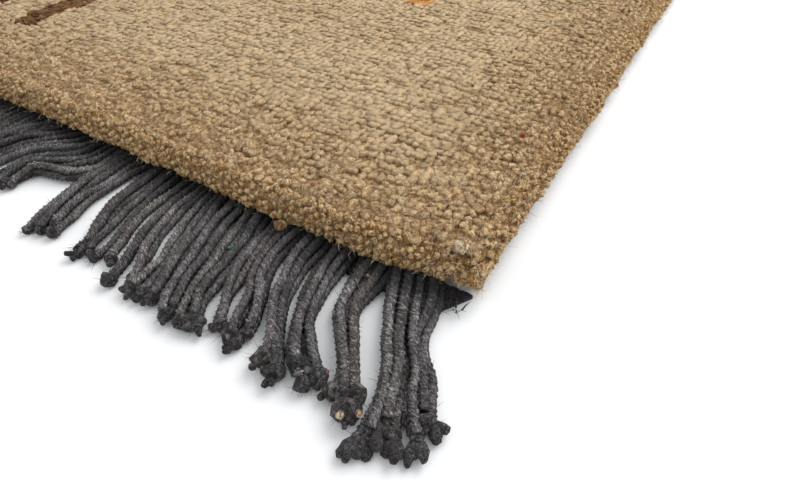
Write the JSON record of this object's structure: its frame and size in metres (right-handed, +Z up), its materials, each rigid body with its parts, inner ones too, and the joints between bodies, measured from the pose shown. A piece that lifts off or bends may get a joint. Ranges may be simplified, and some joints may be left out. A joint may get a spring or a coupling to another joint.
{
  "type": "nepalese rug",
  "caption": "Small hand-knotted wool rug lying flat, with thick plain cut pile, a narrow flat-woven header and a knotted yarn fringe at each end, and overcast side cords.",
  "frame": {"origin": "on the floor, under the middle of the rug", "axes": "+X across the rug, +Y along it away from the fringe that the picture shows, +Z up"},
  "size_m": [0.639, 0.9684, 0.0199],
  "materials": {
    "tan_wool_pile": "matt undyed wool, cut pile",
    "charcoal_wool_yarn": "matt twisted heather wool yarn"
  },
  "bodies": {
    "root": {"pile": "tan_wool_pile", "fringe_front": "charcoal_wool_yarn", "fringe_back": "charcoal_wool_yarn", "selvage_left": "charcoal_wool_yarn", "selvage_right": "charcoal_wool_yarn"}
  },
  "joints": []
}
